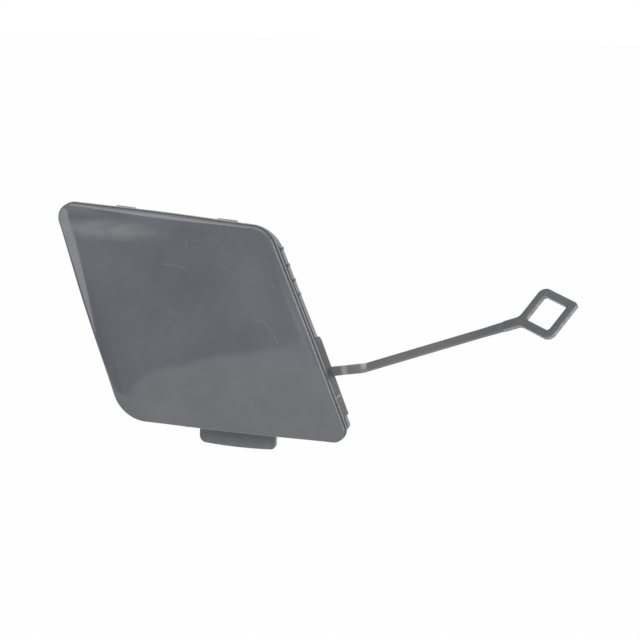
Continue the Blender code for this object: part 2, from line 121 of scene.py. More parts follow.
def by_node(operation, swapped=False):
    """A method that does one step of arithmetic with a node."""
    def apply(self, *others):
        return self.net.work(operation, *others, self) if swapped else self.net.work(operation, self, *others)
    return apply


class Wire:
    """One output of a node. Python's signs work on it: each adds a Math node, or for vectors a Vector Math one."""

    def __init__(self, net, output):
        self.net = net
        self.output = output

    __add__, __radd__ = by_node("ADD"), by_node("ADD", swapped=True)
    __sub__, __rsub__ = by_node("SUBTRACT"), by_node("SUBTRACT", swapped=True)
    __mul__, __rmul__ = by_node("MULTIPLY"), by_node("MULTIPLY", swapped=True)
    __truediv__, __pow__ = by_node("DIVIDE"), by_node("POWER")
    at_least, at_most = by_node("MAXIMUM"), by_node("MINIMUM")
    dot, length = by_node("DOT_PRODUCT"), by_node("LENGTH")

    def out(self, name):
        """Another output of the same node."""
        return Wire(self.net, self.output.node.outputs[name])

    def parts(self):
        """The three numbers of a vector."""
        split = self.net.add("ShaderNodeSeparateXYZ", None, {0: self})
        return split.out("X"), split.out("Y"), split.out("Z")

    def ease(self, low, high, start=0.0, end=1.0):
        """Goes smoothly from start to end while the value goes from low to high."""
        limits = {"Value": self, "From Min": low, "From Max": high, "To Min": start, "To Max": end}
        return self.net.add("ShaderNodeMapRange", {"interpolation_type": "SMOOTHSTEP"}, limits)


class Net:
    """A tree of nodes, of a material, the world or a shape, and the ways to add to it."""

    def __init__(self, tree):
        self.tree = tree
        tree.nodes.clear()

    def add(self, kind, settings=None, values=None):
        """Adds any node: first its settings, then the values or wires of its sockets, by name or number."""
        node = self.tree.nodes.new(kind)
        for name, setting in (settings or {}).items():
            setattr(node, name, setting)
        for name, value in (values or {}).items():
            socket = node.inputs[name]
            for wire in value if isinstance(value, list) else [value]:
                if isinstance(wire, Wire):
                    self.tree.links.new(wire.output, socket)
                elif socket.type == "VECTOR" and isinstance(wire, float):
                    socket.default_value = (wire, wire, wire)
                elif socket.type == "RGBA":
                    socket.default_value = (*wire, 1.0)
                else:
                    socket.default_value = wire
        return Wire(self, node.outputs[0]) if node.outputs else None

    def work(self, operation, *values):
        """One step of arithmetic. It is done on vectors where any of the values is one."""
        def is_vector(value):
            return value.output.type == "VECTOR" if isinstance(value, Wire) else not isinstance(value, (int, float))
        kind = "ShaderNodeVectorMath" if any(map(is_vector, values)) else "ShaderNodeMath"
        result = self.add(kind, {"operation": operation}, dict(enumerate(values)))
        return result.out("Value") if operation in ("DOT_PRODUCT", "LENGTH") else result

    def join(self, x, y, z):
        return self.add("ShaderNodeCombineXYZ", None, {0: x, 1: y, 2: z})

    def noise(self, place, scale, detail=2.0, roughness=0.5):
        values = {"Vector": place, "Scale": scale, "Detail": detail, "Roughness": roughness}
        return self.add("ShaderNodeTexNoise", None, values)

    def tint(self, share, low, high):
        """A colour that goes from low to high with the share."""
        return self.add("ShaderNodeMix", {"data_type": "RGBA"}, {0: share, 6: low, 7: high}).out(2)


def make_table():
    material = bpy.data.materials.new("table_paper")
    material.use_nodes = True
    net = Net(material.node_tree)
    rays = net.add("ShaderNodeLightPath")
    seen = rays.out("Is Camera Ray").at_least(rays.out("Is Glossy Ray")).at_least(rays.out("Is Transmission Ray"))
    paper = net.add("ShaderNodeBsdfDiffuse", None, {"Color": TABLE_WHITE})
    glow = net.add("ShaderNodeEmission", None, {"Color": WHITE})
    share = (seen * TABLE_GLOW).at_least(TABLE_BOUNCE)
    surface = net.add("ShaderNodeMixShader", None, {0: share, 1: paper, 2: glow})
    net.add("ShaderNodeOutputMaterial", None, {"Surface": surface})
    mesh = bpy.data.meshes.new("table")
    mesh.from_pydata([(x, y, TABLE_HEIGHT) for x, y in TABLE_EDGE], [], [range(len(TABLE_EDGE))])
    mesh.materials.append(material)
    return new_object("table", mesh)


def light_the_room():
    world = bpy.data.worlds.new("studio_room")
    scene.world = world
    world.use_nodes = True
    net = Net(world.node_tree)
    rays = net.add("ShaderNodeLightPath")
    seen = rays.out("Is Camera Ray").at_least(rays.out("Is Transmission Ray"))
    towards = net.add("ShaderNodeTexCoord").out("Generated")
    side, rear, _ = towards.parts()
    mottle = net.noise(towards, 11.0, 3.0, 0.6)
    pale = mottle.ease(0.38, 0.68) * ROOM_MOTTLE + side.ease(-0.2, -0.5) * ROOM_LEFT_GLOW
    for centre, near, far, share in ROOM_CLOUDS:
        pale = pale + (towards - centre).length().ease(near, far, share, 0.0) * mottle.ease(0.2, 0.6, 0.5, 1.0)
    wall = (rear + side.at_most(0.0) * 0.5).ease(*WALL_FADE)
    mirrored = net.tint(wall, net.tint(pale, ROOM_DARK, ROOM_PALE), WHITE)
    grey = (ROOM_LIGHT, ROOM_LIGHT, ROOM_LIGHT)
    around = net.tint(rays.out("Is Glossy Ray"), grey, mirrored)
    colour = net.tint(seen, around, WHITE)
    sky = net.add("ShaderNodeBackground", None, {"Color": colour, "Strength": 1.0})
    net.add("ShaderNodeOutputWorld", None, {"Surface": sky})


def soft_box(name, corner, across, upward, brightness):
    """A lamp in a flat box with one corner given and its two edges. It is lit so many times as bright as white paper
    and shines towards the cover."""
    corner, across, upward = Vector(corner), Vector(across), Vector(upward)
    upward = upward - across * upward.dot(across) / across.length_squared
    lamp = bpy.data.lights.new(name, "AREA")
    lamp.shape = "RECTANGLE"
    lamp.size = across.length
    lamp.size_y = upward.length
    lamp.energy = brightness * math.pi * lamp.size * lamp.size_y
    middle = corner + across / 2 + upward / 2
    x_axis, y_axis = across.normalized(), upward.normalized()
    if x_axis.cross(y_axis).dot(middle) < 0:
        x_axis = -x_axis
    turn = Matrix((x_axis, y_axis, x_axis.cross(y_axis))).transposed().to_4x4()
    new_object(name, lamp).matrix_world = Matrix.Translation(middle) @ turn


make_table()
light_the_room()
soft_box("left_box", (-0.55, -0.86, -0.149), (0.20, 0.667, 0.0), (0.0, 0.0, 0.289), 2.5)
soft_box("right_box", (0.90, 0.15, -0.30), (-0.15, -0.80, 0.0), (-0.1, 0.0, 0.75), 2.7)
soft_box("top_box", (-0.75, -1.10, 0.50), (1.5, 0.0, 0.0), (0.0, 0.28, 0.36), 3.3)
soft_box("high_box", (-0.6, -0.80, 0.95), (1.2, 0.0, 0.0), (0.0, 0.75, 0.15), 1.6)


# ------------------------------------------------------------------------------
# The cover itself: crowned face, rolled margin, lip with a shadow groove and a flange, and the skirt that goes into
# the opening, as one moulded shell of dark grey plastic. Its section is carried round the skewed outline. Corners
# run from the upper left one down and round, sides from the left one.

LEFT_SIDE = 0.0767
LEFT_LEAN = 17.5
BOTTOM_SIDE = 0.0793
BOTTOM_FALL = 2.2
TOP_SIDE = 0.0747
TOP_FALL = 4.6
FACE_RADII = (0.0052, 0.0124, 0.0040, 0.0088)
SIDE_BOWS = (0.0005, 0.0003, 0.0002, 0.0003)
FACE_WALL = 0.0024
FACE_CROWN = 0.0019
ROLL_WIDTH = 0.0050
ROLL_DROP = 0.0007
LIP_DEPTH = 0.0036
EDGE_RADIUS = 0.0010
EDGE_TURN = 65.0
GROOVE_WIDTH = 0.0011
GROOVE_DEPTH = 0.0004
FLANGE_THICKNESS = 0.0016
FLANGE_RADIUS = 0.00015
FLANGE_BACK_RADIUS = 0.0006
SKIRT_INSET = 0.0018
SKIRT_DEPTH = 0.0092
WAIST_DEPTH = 0.0005
WAIST_END = 0.0060
SKIRT_RADII = (0.0036, 0.0100, 0.0014, 0.0126)
SKIRT_ROOT_WALL = 0.0019
SKIRT_RIM_WALL = 0.0015
RIM_ROUNDING = 0.0003
ROOT_FILLET = 0.0008
HOOK_SPACING = 0.0353
HOOK_SHIFT = -0.0030
HOOK_LENGTH = 0.0064
SLOT_WIDTH = 0.0010
SLOT_START = 0.0024
SLOT_ROUNDNESS = 0.99
LEFT, BOTTOM, RIGHT, TOP = range(4)
REARWARDS = Vector((0.0, 1.0, 0.0))
BITE = 0.0006   # how far pieces of the one moulding run into each other

FACE_RINGS = 36
ROLL_RINGS = 14
EDGE_RINGS = 10
SKIRT_RINGS = 4
BACK_RINGS = 16
CORNER_STEPS = 18
SIDE_STEPS = 26
SMALL_STEPS = 6
MERGE_DISTANCE = 0.000001
SMOOTH_UNDER = math.radians(38)
ROUND_OVER = math.radians(50)

PLASTIC = (0.114, 0.120, 0.132)
PLASTIC_BEHIND = (0.118, 0.121, 0.126)
# the skirt's own grey, painted lighter than the rest of the moulding as a painted sheen on its side
SKIRT_LIT_TONE = (0.150, 0.153, 0.158)
PLASTIC_IOR = 1.52
FINE_GRAIN = 0.000004
HAZE = (0.24, 0.237, 0.24)
RUBBED = (0.26, 0.26, 0.26)
SCUFFED = (0.34, 0.34, 0.35)
SCRATCHED = (0.31, 0.35, 0.40)
SPECK = (0.03, 0.03, 0.03)
# painted shade: the colour that the skirt's waist behind the flange darkens towards
WAIST_SHADE = (0.022, 0.022, 0.021)
WAIST_SHADE_END = (0.0058, 0.0062)
SCRATCHES = (
    ((-0.0026, 0.0271), (-0.0026, 0.0255)), ((-0.0108, 0.0197), (-0.0057, 0.0194)),
    ((-0.0057, 0.0194), (-0.0029, 0.0187)), ((0.0085, 0.0202), (0.0116, 0.0190)),
    ((0.0004, 0.0278), (0.0024, 0.0279)), ((0.0082, 0.0300), (0.0083, 0.0290)),
    ((0.0205, 0.0026), (0.0233, 0.0025)), ((0.0233, 0.0025), (0.0256, 0.0001)),
    ((0.0256, 0.0001), (0.0287, -0.0053)), ((0.0258, 0.0156), (0.0273, 0.0137)),
)


def heading(degrees):
    """Unit vector in the plan of the face, at an angle above +X."""
    return Vector((math.cos(math.radians(degrees)), math.sin(math.radians(degrees))))


def face_corners():
    """The face's four corners before rounding, about their own middle."""
    upper_left = Vector((0.0, 0.0))
    lower_left = upper_left + LEFT_SIDE * heading(LEFT_LEAN - 90)
    lower_right = lower_left + BOTTOM_SIDE * heading(-BOTTOM_FALL)
    upper_right = upper_left + TOP_SIDE * heading(-TOP_FALL)
    corners = [upper_left, lower_left, lower_right, upper_right]
    middle = sum(corners, Vector((0.0, 0.0))) / len(corners)
    return [corner - middle for corner in corners]


def side_line(corners, side):
    """Unit vector along a side and the unit vector that points out of it."""
    along = (corners[(side + 1) % 4] - corners[side]).normalized()
    return along, Vector((along.y, -along.x))


def inset_corners(corners, inset):
    """The corners of the same outline with each side moved in."""
    moved = []
    for index, corner in enumerate(corners):
        before, after = side_line(corners, index - 1)[1], side_line(corners, index)[1]
        moved.append(corner - (before + after) * inset / (1 + before.dot(after)))
    return moved


def corner_arcs(corners, radii, steps):
    """For each corner the points of its rounding, whichever way the outline turns there."""
    arcs = []
    for index, corner in enumerate(corners):
        before = (corner - corners[index - 1]).normalized()
        after = (corners[(index + 1) % len(corners)] - corner).normalized()
        turn = math.atan2(before.x * after.y - before.y * after.x, before.dot(after))
        start = corner - before * radii[index] * math.tan(abs(turn) / 2)
        to_centre = Vector((-before.y, before.x)) * math.copysign(radii[index], turn)
        spokes = [Matrix.Rotation(turn * step / steps, 2) @ -to_centre for step in range(steps + 1)]
        arcs.append([start + to_centre + spoke for spoke in spokes])
    return arcs


def rounded(corners, radii, steps=SMALL_STEPS):
    """An outline with its corners rounded. A corner with no radius stays sharp."""
    points = []
    for corner, radius, arc in zip(corners, radii, corner_arcs(corners, radii, steps)):
        points += arc if radius > 0 else [corner]
    return points


def outline(inset, wall_inset, wall_radii):
    """The face's outline moved in by a distance. Its corners have the wall's radii where it has the wall's inset."""
    corners = inset_corners(face_corners(), inset)
    radii = [max(radius + wall_inset - inset, EDGE_RADIUS) for radius in wall_radii]
    arcs = corner_arcs(corners, radii, CORNER_STEPS)
    points = []
    for side, arc in enumerate(arcs):
        points += arc
        start, end = arc[-1], arcs[(side + 1) % 4][0]
        out = side_line(corners, side)[1]
        for step in range(1, SIDE_STEPS):
            along = step / SIDE_STEPS
            points.append(start.lerp(end, along) + out * SIDE_BOWS[side] * (4 * along * (1 - along)) ** 2)
    return points


def at_least(value, low):
    """The greater of a value and a number. The value may be a number here or a wire in a tree of nodes."""
    return value.at_least(low) if isinstance(value, Wire) else max(value, low)


def inside_by(x, z, side):
    """How far a point of the plan lies inside a side of the face."""
    corners = face_corners()
    out = side_line(corners, side)[1]
    return at_least(out.dot(corners[side]) - (x * out.x + z * out.y), 0.0)


def crown(x, z):
    """Rise of the face over its rim: one even swell, which ends at all four sides."""
    height = FACE_CROWN
    for side in (LEFT, BOTTOM):
        here, there = inside_by(x, z, side), inside_by(x, z, side + 2)
        height = height * 4 * here * there / (here + there) ** 2
    return height


def roll(inset):
    """Rise of the rolled margin, at a distance in from the outline."""
    return ROLL_DROP * (1 - at_least(1 - inset / ROLL_WIDTH, 0.0) ** 2)


def lift(points, depth):
    """Points of the plan as points in space, all at one depth."""
    return [Vector((point.x, depth, point.y)) for point in points]


def crowned(points, depth):
    """Points of the plan as points in space, at a depth that the crown brings forward."""
    return [Vector((point.x, depth - crown(point.x, point.y), point.y)) for point in points]


def quarter(steps):
    """Sine and cosine of each step of a quarter turn."""
    angles = [math.pi / 2 * step / steps for step in range(steps + 1)]
    return [(math.sin(angle), math.cos(angle)) for angle in angles]


def face_rings():
    """Rings over the crowned face, the rolled margin and the rounded front edge."""
    plain = outline(ROLL_WIDTH, 0.0, FACE_RADII)
    rings = []
    for step in range(1, FACE_RINGS + 1):
        rings.append(crowned([point * step / FACE_RINGS for point in plain], -LIP_DEPTH - ROLL_DROP))
    slope = math.atan(2 * ROLL_DROP / ROLL_WIDTH)
    edge_inset = EDGE_RADIUS * (1 - math.sin(slope))
    for step in range(1, ROLL_RINGS):
        inset = ROLL_WIDTH + (edge_inset - ROLL_WIDTH) * step / ROLL_RINGS
        rings.append(crowned(outline(inset, 0.0, FACE_RADII), -LIP_DEPTH - roll(inset)))
    centre_depth = -LIP_DEPTH - roll(edge_inset) + EDGE_RADIUS * math.cos(slope)
    for step in range(EDGE_RINGS + 1):
        angle = slope + (math.radians(EDGE_TURN) - slope) * step / EDGE_RINGS
        points = outline(EDGE_RADIUS * (1 - math.sin(angle)), 0.0, FACE_RADII)
        rings.append(crowned(points, centre_depth - EDGE_RADIUS * math.cos(angle)))
    return rings


def lip_rings():
    """Rings down the lip's side: a shadow groove, then the flange that bears on the bumper."""
    groove_start = -FLANGE_THICKNESS - GROOVE_WIDTH
    stops = [(GROOVE_DEPTH, groove_start), (GROOVE_DEPTH, -FLANGE_THICKNESS)]
    for sine, cosine in quarter(SMALL_STEPS):
        stops.append((FLANGE_RADIUS * (1 - sine), FLANGE_RADIUS * (1 - cosine) - FLANGE_THICKNESS))
    for sine, cosine in quarter(SMALL_STEPS):
        stops.append((FLANGE_BACK_RADIUS * (1 - cosine), FLANGE_BACK_RADIUS * (sine - 1)))
    return [lift(outline(inset, 0.0, FACE_RADII), depth) for inset, depth in stops]


def skirt_rings():
    """Rings over the seat, the skirt's outside and its rim, and back down its inside to the middle of the back."""
    def ring(inset, depth):
        return lift(outline(inset, SKIRT_INSET, SKIRT_RADII), depth)
    waist = SKIRT_INSET + WAIST_DEPTH
    rings = [ring(waist, 0.0), ring(waist, WAIST_END)]
    straight = SKIRT_DEPTH - RIM_ROUNDING - WAIST_END
    for step in range(SKIRT_RINGS + 1):
        rings.append(ring(SKIRT_INSET, WAIST_END + straight * step / SKIRT_RINGS))
    for sine, cosine in quarter(SKIRT_RINGS)[1:]:
        rings.append(ring(SKIRT_INSET + RIM_ROUNDING * (1 - cosine), SKIRT_DEPTH - RIM_ROUNDING * (1 - sine)))
    rim = SKIRT_INSET + SKIRT_RIM_WALL
    for sine, cosine in quarter(SKIRT_RINGS):
        rings.append(ring(rim - RIM_ROUNDING * (1 - sine), SKIRT_DEPTH - RIM_ROUNDING * (1 - cosine)))
    root = SKIRT_INSET + SKIRT_ROOT_WALL
    floor = FACE_WALL - LIP_DEPTH - ROLL_DROP
    for sine, cosine in quarter(SMALL_STEPS):
        points = outline(root + ROOT_FILLET * (1 - cosine), SKIRT_INSET, SKIRT_RADII)
        rings.append(crowned(points, floor + ROOT_FILLET * (1 - sine)))
    edge = outline(root + ROOT_FILLET, SKIRT_INSET, SKIRT_RADII)
    for step in range(1, BACK_RINGS):
        rings.append(crowned([point * (1 - step / BACK_RINGS) for point in edge], floor))
    return rings


def mesh_from(name, edit):
    """Turns a bmesh into a mesh whose faces all point out."""
    bmesh.ops.recalc_face_normals(edit, faces=edit.faces)
    mesh = bpy.data.meshes.new(name)
    edit.to_mesh(mesh)
    edit.free()
    return mesh


def make_shell():
    """Joins the rings to one closed shell. The face is its first material, the rest its second."""
    shining = face_rings() + lip_rings()
    rings = shining + skirt_rings()
    tips = [Vector((0.0, depth - crown(0.0, 0.0) - LIP_DEPTH - ROLL_DROP, 0.0)) for depth in (0.0, FACE_WALL)]
    edit = bmesh.new()
    loops = [[edit.verts.new(point) for point in points] for points in rings]
    for number, (loop, beyond) in enumerate(zip(loops, loops[1:])):
        for index in range(len(loop)):
            patch = edit.faces.new((loop[index - 1], loop[index], beyond[index], beyond[index - 1]))
            patch.material_index = 0 if number < len(shining) - 1 else 1
    for loop, tip, number in ((loops[0], tips[0], 0), (loops[-1], tips[1], 1)):
        middle = edit.verts.new(tip)
        for index in range(len(loop)):
            edit.faces.new((loop[index - 1], loop[index], middle)).material_index = number
    return new_object("cover_shell", mesh_from("cover_shell", edit))


def wall_place(side, turned):
    """Matrix to a side of the skirt. Either X is out of the wall, Y to the rear and Z along it, or X to the rear,
    Y along it and Z out of it, or X along it, Y out of it and Z to the rear."""
    corners = face_corners()
    along, out = side_line(corners, side)
    middle = (corners[side] + corners[(side + 1) % 4]) / 2 - out * SKIRT_INSET
    middle, along, out = [Vector((flat.x, 0.0, flat.y)) for flat in (middle, along, out)]
    axes = {
        "crosswise": (out, REARWARDS, along),
        "outward": (REARWARDS, along, out),
        "rearward": (along, out, REARWARDS),
    }
    return Matrix.Translation(middle) @ Matrix(axes[turned]).transposed().to_4x4()


def plate(name, outlines, low, high, place, rounding=0.0):
    """A flat plate from closed outlines, the first its edge and any others its holes, between two heights."""
    curve = bpy.data.curves.new(name, "CURVE")
    curve.dimensions = "2D"
    curve.fill_mode = "BOTH"
    curve.extrude = (high - low) / 2
    for points in outlines:
        spline = curve.splines.new("POLY")
        spline.points.add(len(points) - 1)
        spline.use_cyclic_u = True
        for target, point in zip(spline.points, points):
            target.co = (point[0], point[1], 0.0, 1.0)
    drawn = bpy.data.objects.new(name, curve)
    edit = bmesh.new()
    edit.from_mesh(drawn.to_mesh())
    drawn.to_mesh_clear()
    bpy.data.objects.remove(drawn)
    bpy.data.curves.remove(curve)
    bmesh.ops.remove_doubles(edit, verts=edit.verts, dist=MERGE_DISTANCE)
    bmesh.ops.dissolve_limit(edit, angle_limit=0.0001, verts=edit.verts, edges=edit.edges)
    bmesh.ops.transform(edit, matrix=place @ Matrix.Translation((0, 0, (low + high) / 2)), verts=edit.verts)
    made = new_object(name, mesh_from(name, edit))
    if rounding:
        round_edges(made, rounding)
    return made


def round_edges(made, width, segments=3):
    bevel = made.modifiers.new("rounding", "BEVEL")
    bevel.width = width
    bevel.segments = segments
    bevel.angle_limit = ROUND_OVER
    flatten(made)


def flatten(made):
    """Takes what an object's modifiers make of it as its plain mesh."""
    bpy.context.view_layer.update()
    graph = bpy.context.evaluated_depsgraph_get()
    result = bpy.data.meshes.new_from_object(made.evaluated_get(graph))
    made.modifiers.clear()
    made.data = result
    return made


def shade(piece):
    """Shades a piece smooth over its shallow edges."""
    piece.data.shade_smooth()
    piece.data.set_sharp_from_angle(angle=SMOOTH_UNDER)


def flat_points(*pairs):
    return [Vector(pair) for pair in pairs]


def rectangle(x_low, x_high, y_low, y_high):
    return flat_points((x_low, y_low), (x_high, y_low), (x_high, y_high), (x_low, y_high))


def cut_slots(shell):
    """Slots on both sides of each snap hook, round at their root, so that the wall between them can spring."""
    half = SLOT_WIDTH / 2
    rounding = half * SLOT_ROUNDNESS
    cutters = bpy.data.collections.new("slot_cutters")
    scene.collection.children.link(cutters)
    for at in (HOOK_SHIFT + HOOK_SPACING / 2, HOOK_SHIFT - HOOK_SPACING / 2):
        for sign in (-1, 1):
            middle = at + sign * (HOOK_LENGTH / 2 + SLOT_WIDTH)
            box = rectangle(SLOT_START, SKIRT_DEPTH + BITE, middle - half, middle + half)
            shape = rounded(box, [rounding, 0.0, 0.0, rounding])
            low, high = -SKIRT_ROOT_WALL - BITE, SIDE_BOWS[TOP] + BITE
            cut = plate("slot", [shape], low, high, wall_place(TOP, "outward"))
            scene.collection.objects.unlink(cut)
            cutters.objects.link(cut)
    slots = shell.modifiers.new("slots", "BOOLEAN")
    slots.operation = "DIFFERENCE"
    slots.solver = "EXACT"
    slots.operand_type = "COLLECTION"
    slots.collection = cutters
    flatten(shell)
    for cut in list(cutters.objects):
        bpy.data.objects.remove(cut)
    bpy.data.collections.remove(cutters)


def new_plastic(name):
    """An empty material, with the place on the piece that its nodes read."""
    material = bpy.data.materials.new(name)
    material.use_nodes = True
    net = Net(material.node_tree)
    return material, net, net.add("ShaderNodeTexCoord").out("Object")


def finish_plastic(net, colour, roughness, height, depth):
    """Closes a plastic's tree. The height is in the unit of the depth, in metres."""
    bump = net.add("ShaderNodeBump", None, {"Height": height, "Strength": 1.0, "Distance": depth})
    values = {"Base Color": colour, "Roughness": roughness, "IOR": PLASTIC_IOR, "Normal": bump}
    shader = net.add("ShaderNodeBsdfPrincipled", None, values)
    net.add("ShaderNodeOutputMaterial", None, {"Surface": shader})


def spot(place, centre, size, soft=0.4):
    """1 inside a soft-edged oval on the face and 0 outside it."""
    from_middle = (place - (centre[0], 0.0, centre[1])) * (1 / size[0], 0.0, 1 / size[1])
    return from_middle.length().ease(1.0 - soft, 1.0 + soft, 1.0, 0.0)


def scratch(place, start, end, width=0.00012):
    """1 on a fine straight line on the face and 0 away from it."""
    start, end = Vector((start[0], 0.0, start[1])), Vector((end[0], 0.0, end[1]))
    span = end - start
    from_start = (place - tuple(start)) * (1.0, 0.0, 1.0)
    share = from_start.dot(tuple(span / span.length_squared)).at_least(0.0).at_most(1.0)
    away = from_start - share * tuple(span)
    return away.length().ease(width * 0.4, width * 1.4, 1.0, 0.0)


def make_face_plastic():
    """Polished plastic: the tool's faint orange peel, a wiped haze, hairlines, scratches, dust and a dark speck, and
    a faint pale patch that is a painted reflection.
    """
    material, net, place = new_plastic("polished_grey_plastic")
    wiping = net.noise(place * (0.35, 1.0, 1.0), 420.0).ease(0.25, 0.65, 0.5, 1.0)
    haze = spot(place, (-0.0300, 0.0300), (0.0145, 0.0028), 0.7) * wiping
    haze = haze.at_least(spot(place, (-0.0425, 0.0366), (0.0075, 0.0018), 0.8) * 0.28)
    # painted reflection: a faint pale patch that stands for the room's reflection in the face
    patch = spot(place, (0.0185, 0.0130), (0.0080, 0.0120), 0.8)
    lines = 0.0
    for start, end in SCRATCHES:
        lines = scratch(place, start, end).at_least(lines)
    wiped = net.noise(place * (90.0, 90.0, 900.0), 1.0, 3.0, 0.6)
    hairs = wiped.ease(0.62, 0.70) * net.noise(place, 60.0).ease(0.45, 0.7)
    dust_at = net.add("ShaderNodeTexVoronoi", None, {"Vector": place, "Scale": 330.0, "Randomness": 1.0})
    dust = dust_at.ease(0.03, 0.075, 1.0, 0.0) * net.noise(place, 75.0).ease(0.52, 0.66)
    speck = spot(place, (-0.0260, -0.0298), (0.0004, 0.0003), 0.5)
    cloud = net.noise(place, 48.0, 4.0, 0.6)
    low, high = tuple(part * 0.93 for part in PLASTIC), tuple(part * 1.07 for part in PLASTIC)
    colour = net.tint(cloud.ease(0.3, 0.7), low, high)
    colour = net.tint(haze * 0.56 + patch * 0.08, colour, HAZE)
    colour = net.tint(lines * 0.22 + dust * 0.12 + hairs * 0.02, colour, SCRATCHED)
    colour = net.tint(speck * 0.7, colour, SPECK)
    roughness = 0.05 + cloud * 0.03 + haze * 0.2 + lines * 0.2 + hairs * 0.05
    peel = net.noise(place, 520.0, 1.0) * 0.35 + net.noise(place, 75.0, 2.0) * 4.0
    finish_plastic(net, colour, roughness, peel - lines * 1.2, 0.0000022)
    return material


def make_back_plastic(name, tone, roughness, grain, painted_shade=None, scuffs=None):
    """Plastic from a duller tool: a fine eroded grain, flow clouds and handling marks. The painted shade and the
    scuffs are functions that give their share at a place; the painted shade darkens the colour as a shadow would."""
    material, net, place = new_plastic(name)
    cloud = net.noise(place, 55.0, 4.0, 0.6)
    rubbed = net.noise(place * (300.0, 300.0, 300.0), 1.0, 2.0).ease(0.55, 0.72)
    low, high = tuple(part * 0.93 for part in tone), tuple(part * 1.10 for part in tone)
    colour = net.tint(cloud.ease(0.3, 0.7), low, high)
    colour = net.tint(rubbed * 0.12, colour, RUBBED)
    shine = roughness + cloud * 0.14 - rubbed * 0.06
    if painted_shade:
        # painted shade: where its share is, the colour darkens as under a shadow
        shade_share = painted_shade(place) * (0.6 + cloud * 0.6)
        colour = net.tint(shade_share, colour, WAIST_SHADE)
        shine = shine + shade_share * 0.5
    if scuffs:
        flecks = net.noise(place, 1500.0, 1.0).ease(0.52, 0.60)
        colour = net.tint(flecks * scuffs(place) * 0.25, colour, SCUFFED)
    pits = net.noise(place, 3200.0, 2.0, 0.6) + net.noise(place, 620.0, 2.0) * 0.8
    finish_plastic(net, colour, shine, pits, grain)
    return material


def skirt_waist_shade(place):
    """Painted shade in the waist behind the flange, where the flange shades the skirt."""
    return place.parts()[1].ease(*WAIST_SHADE_END, 1.0, 0.0)


def belongs(piece):
    """Every piece here is part of the one moulding and takes its place."""
    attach(piece, "root")
    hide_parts("tow_hook_cover")


def finish_piece(piece, plastic=None):
    """Gives a piece its plastic, unless it has one, turns its faces out and makes it part of the moulding."""
    if plastic:
        piece.data.materials.append(plastic)
    edit = bmesh.new()
    edit.from_mesh(piece.data)
    bmesh.ops.recalc_face_normals(edit, faces=edit.faces)
    edit.to_mesh(piece.data)
    edit.free()
    shade(piece)
    belongs(piece)


shell = make_shell()
cut_slots(shell)
shell.data.materials.clear()
shell.data.materials.append(make_face_plastic())
behind_plastic = make_back_plastic("dull_grey_plastic", PLASTIC_BEHIND, 0.28, FINE_GRAIN)
# the skirt's plastic: painted lighter as a sheen on its side, and darkened in the waist as painted shade
skirt_lit_and_shaded_plastic = make_back_plastic("skirt_grey_plastic_lit_and_shaded", SKIRT_LIT_TONE, 0.14, FINE_GRAIN, skirt_waist_shade)
shell.data.materials.append(skirt_lit_and_shaded_plastic)
shade(shell)
belongs(shell)


# ------------------------------------------------------------------------------
# Stiffening ribs on the back of the face, two upright and one level, moulded with it. Each is a bar whose crest is
# straight and whose root follows the crowned face by the same rule as the face itself.

RIB_THICKNESS = 0.0012
RIB_END = 0.0015
RIB_ROUNDING = 0.00015
UPRIGHT_RIBS = 2
LEVEL_RIBS = 1


def new_shape(name, sizes):
    """An empty tree of Geometry Nodes with named inputs, and its inputs as wires."""
    tree = bpy.data.node_groups.new(name, "GeometryNodeTree")
    tree.interface.new_socket(name="Geometry", in_out="INPUT", socket_type="NodeSocketGeometry")
    tree.interface.new_socket(name="Geometry", in_out="OUTPUT", socket_type="NodeSocketGeometry")
    for label, kind in sizes.items():
        tree.interface.new_socket(name=label, in_out="INPUT", socket_type="NodeSocket" + kind)
    net = Net(tree)
    return net, net.add("NodeGroupInput")


def finish_shape(net, shape):
    """Ends a tree: its instances are made real and take the plastic that is given."""
    real = net.add("GeometryNodeRealizeInstances", None, {"Geometry": shape})
    given = next(node for node in net.tree.nodes if node.bl_idname == "NodeGroupInput")
    values = {"Geometry": real, "Material": Wire(net, given.outputs["Plastic"])}
    net.add("NodeGroupOutput", None, {"Geometry": net.add("GeometryNodeSetMaterial", None, values)})


def grow(name, net, sizes, start=None):
    """Makes a piece with a tree and the sizes for its named inputs, as a plain mesh."""
    made = new_object(name, start or bpy.data.meshes.new(name))
    modifier = made.modifiers.new("shape", "NODES")
    modifier.node_group = net.tree
    for item in net.tree.interface.items_tree:
        if item.in_out == "INPUT" and item.name in sizes:
            modifier[item.identifier] = sizes[item.name]
    return flatten(made)


def make_rib_tree():
    sizes = {"Start": "Vector", "End": "Vector", "Thickness": "Float", "Crest Depth": "Float", "Bite": "Float"}
    net, given = new_shape("rib_under_crown", sizes | {"Plastic": "Material"})
    start, end, thickness = given.out("Start"), given.out("End"), given.out("Thickness")
    bar = net.add("GeometryNodeMeshCube", None, {"Size": 1.0, "Vertices X": 49, "Vertices Y": 2, "Vertices Z": 2})
    share, upper, across = net.add("GeometryNodeInputPosition").parts()
    span = end - start
    sideways = net.work("CROSS_PRODUCT", net.work("NORMALIZE", span), tuple(REARWARDS))
    plan = start + span * (share + 0.5) + sideways * (across * thickness)
    x, _, z = plan.parts()
    inset = inside_by(x, z, LEFT)
    for side in (BOTTOM, RIGHT, TOP):
        inset = inset.at_most(inside_by(x, z, side))
    root = FACE_WALL - LIP_DEPTH - crown(x, z) - roll(inset) - given.out("Bite")
    crest = (upper + 0.5).ease(0.4, 0.6)
    depth = root + crest * (given.out("Crest Depth") - root)
    shaped = net.add("GeometryNodeSetPosition", None, {"Geometry": bar, "Position": net.join(x, depth, z)})
    finish_shape(net, shaped)
    return net


